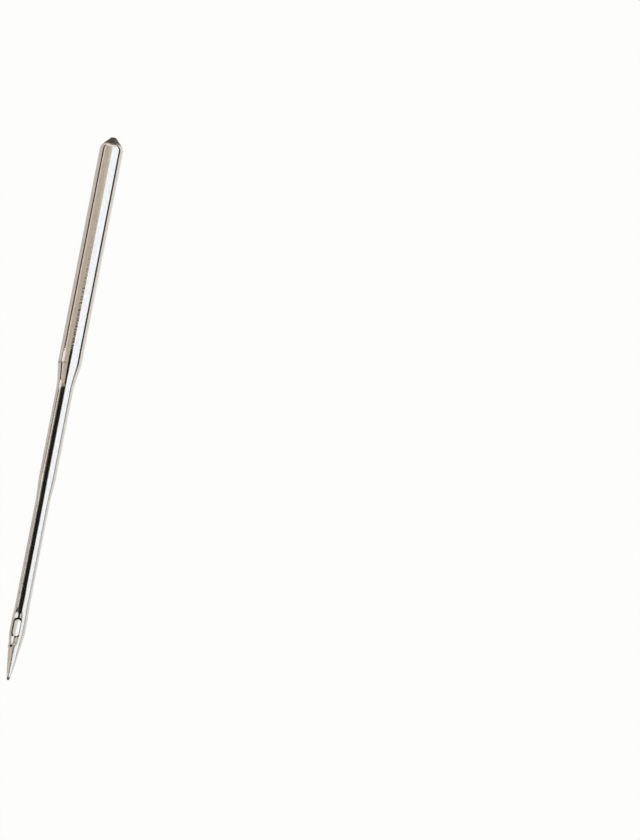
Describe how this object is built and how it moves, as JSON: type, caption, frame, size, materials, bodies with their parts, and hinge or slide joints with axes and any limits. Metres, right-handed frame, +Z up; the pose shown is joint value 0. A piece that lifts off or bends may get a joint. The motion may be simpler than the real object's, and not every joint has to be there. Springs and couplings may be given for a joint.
{
  "type": "sewing machine needle",
  "caption": "Round-shank industrial lockstitch needle with conical butt, reinforced tapering blade, long groove, oval eye, scarf and rounded point.",
  "frame": {"origin": "on the surface that the needle lies on, below the middle of its length and on its axis", "axes": "+X along the needle from the point to the butt, +Z up, from the scarf side to the long groove side"},
  "size_m": [0.0382, 0.0016, 0.0016],
  "materials": {
    "plated_steel": "polished nickel or chrome plate over hardened steel, with fine lengthwise drawing and polishing marks"
  },
  "bodies": {
    "root": {"needle": "plated_steel"}
  },
  "joints": []
}
